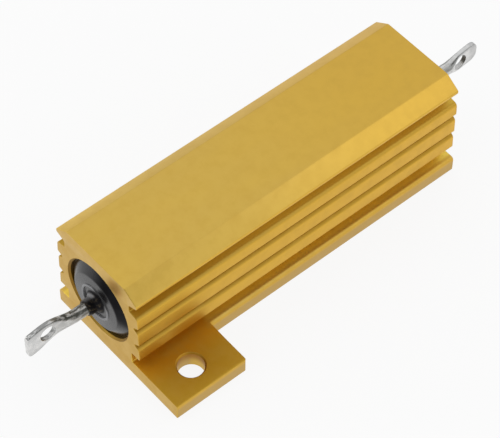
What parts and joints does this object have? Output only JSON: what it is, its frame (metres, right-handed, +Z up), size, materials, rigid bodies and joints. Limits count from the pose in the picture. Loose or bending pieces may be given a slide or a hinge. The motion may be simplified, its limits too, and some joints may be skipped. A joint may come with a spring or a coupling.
{
  "type": "chassis mount wirewound resistor",
  "caption": "Aluminium-clad wirewound power resistor: finned gold housing with two diagonal screw feet and a pierced solder lug at each end.",
  "frame": {"origin": "on the base face, midway between the two fixing holes", "axes": "+Y along the bore towards the rear terminal, +Z up from the base, +X towards the front foot"},
  "size_m": [0.0286, 0.0703, 0.0159],
  "materials": {
    "gold_anodised_aluminium": "satin gold anodised",
    "black_moulding_compound": "glossy as moulded",
    "white_ceramic": "fired and unglazed",
    "resistance_wire": "drawn wire",
    "cap_steel": "drawn and bright",
    "tinned_terminal": "bright tin plate"
  },
  "bodies": {
    "root": {"housing": "gold_anodised_aluminium", "moulding": "black_moulding_compound", "ceramic_core": "white_ceramic", "resistance_winding": "resistance_wire", "end_cap_front": "cap_steel", "end_cap_rear": "cap_steel", "terminal_front": "tinned_terminal", "terminal_rear": "tinned_terminal"}
  },
  "joints": []
}
